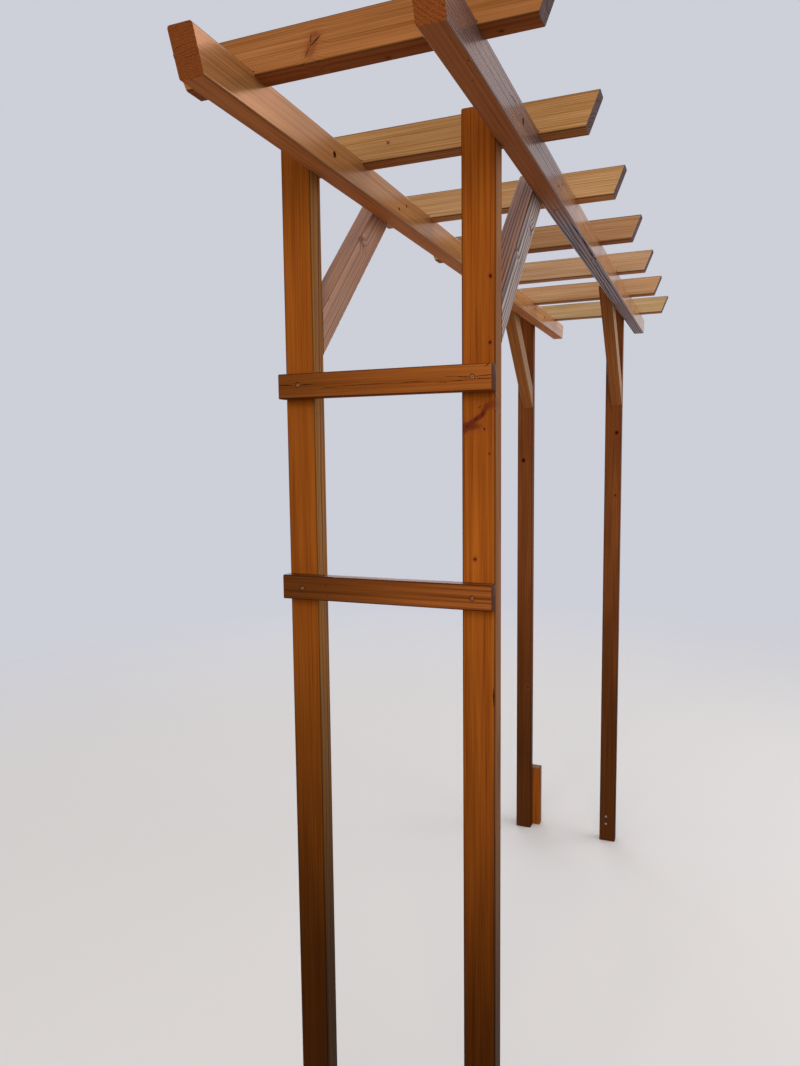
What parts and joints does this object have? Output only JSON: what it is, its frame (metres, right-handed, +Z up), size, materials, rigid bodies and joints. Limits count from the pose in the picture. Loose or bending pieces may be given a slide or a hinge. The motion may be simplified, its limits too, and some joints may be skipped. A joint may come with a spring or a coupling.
{
  "type": "narrow wooden garden pergola on posts",
  "caption": "Narrow timber pergola for climbing plants: plumb posts, side beams with slanted ends, rafters let in over them, knee braces and rungs between the front posts.",
  "frame": {"origin": "on the ground, midway along the rafters in X and midway along the beams in Y", "axes": "+Z up, X across the pergola along its rafters, +Y from its front end, where the rungs are, to its back end"},
  "size_m": [0.592, 2.64, 2.172],
  "materials": {
    "stained_timber": "satin"
  },
  "bodies": {
    "root": {"back_left_brace": "stained_timber", "back_left_post": "stained_timber", "back_left_stake": "stained_timber", "back_right_brace": "stained_timber", "back_right_post": "stained_timber", "front_left_brace": "stained_timber", "front_left_post": "stained_timber", "front_right_brace": "stained_timber", "front_right_post": "stained_timber", "left_beam": "stained_timber", "lower_rung": "stained_timber", "rafter_1": "stained_timber", "rafter_2": "stained_timber", "rafter_3": "stained_timber", "rafter_4": "stained_timber", "rafter_5": "stained_timber", "rafter_6": "stained_timber", "rafter_7": "stained_timber", "right_beam": "stained_timber", "upper_rung": "stained_timber"}
  },
  "joints": []
}
